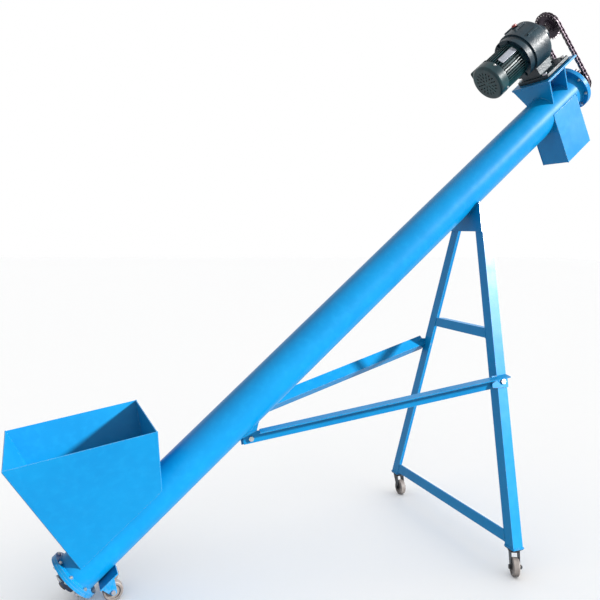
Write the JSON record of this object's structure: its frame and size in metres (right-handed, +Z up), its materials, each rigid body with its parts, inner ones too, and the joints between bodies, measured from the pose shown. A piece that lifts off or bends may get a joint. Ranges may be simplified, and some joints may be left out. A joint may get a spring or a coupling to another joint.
{
  "type": "grain auger",
  "caption": "Wheeled inclined tube auger with an intake hopper, inner screw, chain drive, gearmotor, discharge spout and an A-frame on casters.",
  "frame": {"origin": "on the floor under the middle of the machine's length and width", "axes": "+X from the hopper end to the drive end, +Y across to the far side, +Z up"},
  "size_m": [2.6249, 0.9987, 2.4215],
  "materials": {
    "blue_paint": "gloss bright blue paint",
    "dark_casting": "dark painted cast iron",
    "bearing_steel": "ground steel",
    "screw_steel": "bare mild steel, worn by grain",
    "sprocket_steel": "dark oiled steel",
    "chain_steel": "oiled roller chain",
    "gear_paint": "dark green-blue enamel",
    "motor_paint": "dark green-blue enamel",
    "box_paint": "dark green-blue enamel",
    "gland_nylon": "black nylon",
    "cap_plastic": "red plastic",
    "shaft_steel": "ground steel",
    "stator_core": "laminated core",
    "fan_plastic": "black moulded fan",
    "fasteners": "zinc plated",
    "caster_steel": "pressed steel, dull zinc",
    "wheel_nylon": "greyish white nylon"
  },
  "bodies": {
    "frame": {"auger_tube": "blue_paint", "base_beam": "blue_paint", "bearing_bolts": "fasteners", "bearing_housings": "dark_casting", "bearing_outer_races": "bearing_steel", "brace_bolts": "fasteners", "brace_lugs": "blue_paint", "cable_gland": "gland_nylon", "chain_inner_links": "chain_steel", "chain_outer_links": "chain_steel", "crossbar": "blue_paint", "end_cover_bolts": "fasteners", "fan_cover": "motor_paint", "far_brace": "blue_paint", "far_leg": "blue_paint", "foot_plates": "blue_paint", "gear_foot_bolts": "fasteners", "gear_housing": "gear_paint", "hopper_far_wall": "blue_paint", "hopper_floor": "blue_paint", "hopper_high_wall": "blue_paint", "hopper_low_wall": "blue_paint", "hopper_near_wall": "blue_paint", "lower_caster_axles": "fasteners", "lower_caster_forks": "blue_paint", "lower_caster_plate": "blue_paint", "lower_end_cover": "blue_paint", "motor_adapter": "gear_paint", "motor_end_bell": "motor_paint", "motor_frame": "motor_paint", "motor_platform": "blue_paint", "motor_stator": "stator_core", "near_brace": "blue_paint", "near_leg": "blue_paint", "oil_cap": "cap_plastic", "platform_supports": "blue_paint", "spout_end_plates": "blue_paint", "spout_side_plates": "blue_paint", "swivel_caster_plates": "caster_steel", "terminal_box": "box_paint", "terminal_box_lid": "box_paint", "top_plate": "blue_paint", "tube_flanges": "blue_paint", "upper_end_cover": "blue_paint"},
    "screw": {"screw_shaft": "screw_steel", "screw_flights": "screw_steel", "stub_shafts": "screw_steel", "bearing_inner_races": "bearing_steel", "driven_sprocket": "sprocket_steel"},
    "gear_output": {"output_shaft": "shaft_steel", "drive_sprocket": "sprocket_steel"},
    "rotor": {"motor_rotor": "shaft_steel", "motor_fan": "fan_plastic"},
    "near_swivel": {"near_swivel_fork": "caster_steel"},
    "near_wheel": {"near_swivel_wheel": "wheel_nylon"},
    "far_swivel": {"far_swivel_fork": "caster_steel"},
    "far_wheel": {"far_swivel_wheel": "wheel_nylon"},
    "near_fixed_wheel": {"near_lower_wheel": "wheel_nylon"},
    "far_fixed_wheel": {"far_lower_wheel": "wheel_nylon"}
  },
  "joints": [
    {"name": "screw_spin", "type": "hinge", "parent": "frame", "child": "screw", "pos_m": [1.26073, 0, 2.1369], "axis": [0.7533, 0, 0.6576], "continuous": true, "deforming": ["chain_inner_links", "chain_outer_links"]},
    {"name": "gear_output_spin", "type": "hinge", "parent": "frame", "child": "gear_output", "pos_m": [1.06237, 0, 2.36413], "axis": [0.7533, 0, 0.6576], "continuous": true},
    {"name": "motor_spin", "type": "hinge", "parent": "frame", "child": "rotor", "pos_m": [0.77787, 0, 2.11577], "axis": [0.7533, 0, 0.6576], "continuous": true},
    {"name": "near_swivel", "type": "hinge", "parent": "frame", "child": "near_swivel", "pos_m": [0.61064, -0.45376, 0.099], "axis": [0, 0, 1], "continuous": true},
    {"name": "near_wheel_roll", "type": "hinge", "parent": "near_swivel", "child": "near_wheel", "pos_m": [0.59839, -0.47781, 0.0375], "axis": [-0.891, 0.454, 0], "continuous": true},
    {"name": "far_swivel", "type": "hinge", "parent": "frame", "child": "far_swivel", "pos_m": [0.61064, 0.45376, 0.099], "axis": [0, 0, 1], "continuous": true},
    {"name": "far_wheel_roll", "type": "hinge", "parent": "far_swivel", "child": "far_wheel", "pos_m": [0.60876, 0.42682, 0.0375], "axis": [-0.9976, 0.0698, 0], "continuous": true},
    {"name": "near_fixed_wheel_roll", "type": "hinge", "parent": "frame", "child": "near_fixed_wheel", "pos_m": [-0.94946, -0.063, 0.0375], "axis": [0, 1, 0], "continuous": true},
    {"name": "far_fixed_wheel_roll", "type": "hinge", "parent": "frame", "child": "far_fixed_wheel", "pos_m": [-0.94946, 0.063, 0.0375], "axis": [0, 1, 0], "continuous": true}
  ],
  "couplings": [
    {"joint": "gear_output_spin", "follows": "screw_spin", "ratio": 1},
    {"joint": "motor_spin", "follows": "screw_spin", "ratio": -11}
  ]
}
